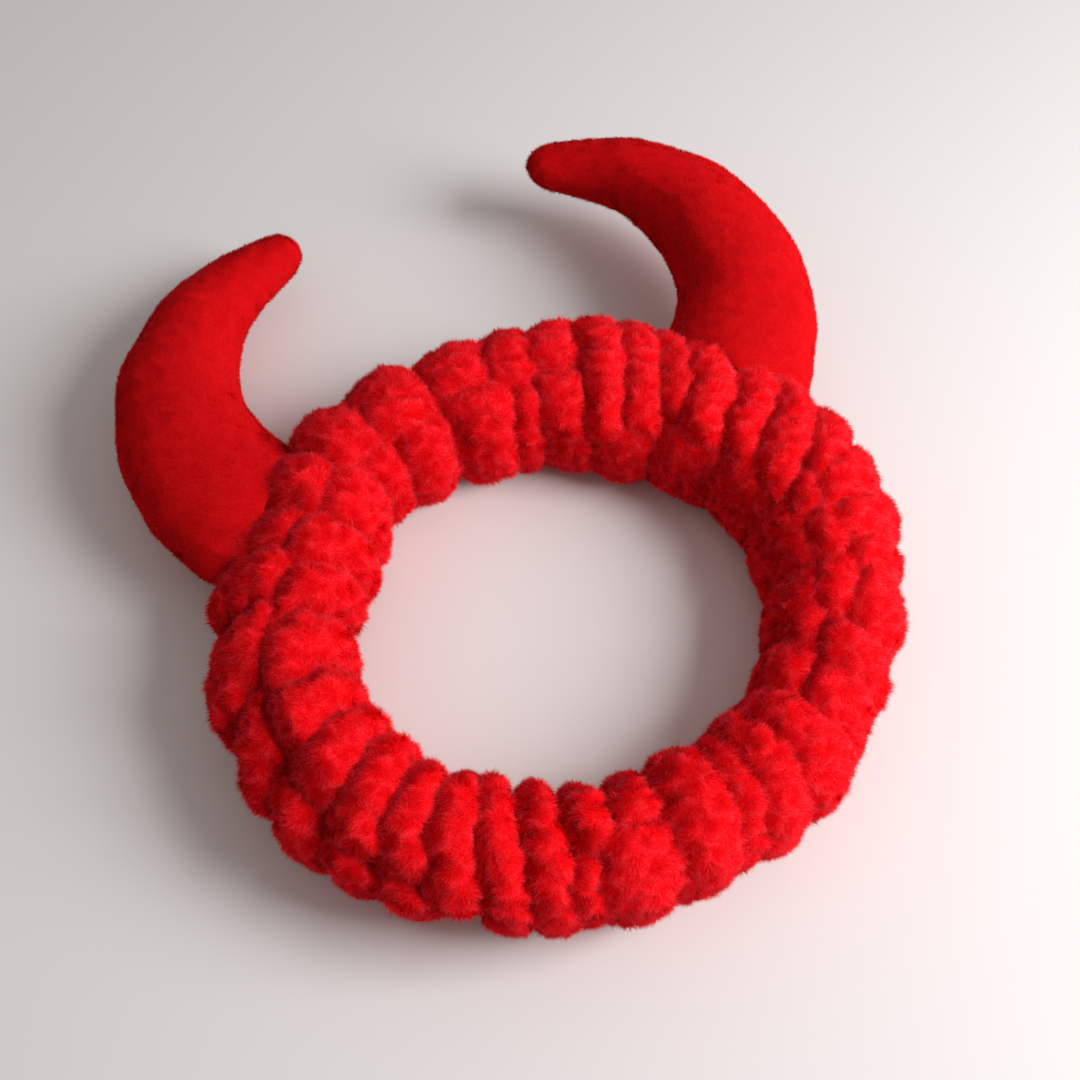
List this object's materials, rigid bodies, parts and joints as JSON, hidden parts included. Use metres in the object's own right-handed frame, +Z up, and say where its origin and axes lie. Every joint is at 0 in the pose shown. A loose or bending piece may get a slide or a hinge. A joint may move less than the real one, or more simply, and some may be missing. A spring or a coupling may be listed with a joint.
{
  "type": "plush horns headband",
  "caption": "Gathered plush fleece headband ring lying flat, with stuffed curved plush horns sewn to its outer side.",
  "frame": {"origin": "middle of the base of the whole part's box, with the ring lying flat", "axes": "+Z up along the ring's axis, +Y from the ring towards the horns' tips, +X towards the horn on the right of the picture"},
  "size_m": [0.2428, 0.2928, 0.0481],
  "materials": {
    "fleece": "red coral fleece with a deep, fuzzy pile",
    "plush": "red plush with a short, brushed pile"
  },
  "bodies": {
    "root": {"band": "fleece", "horn_left": "plush", "horn_right": "plush"}
  },
  "joints": []
}
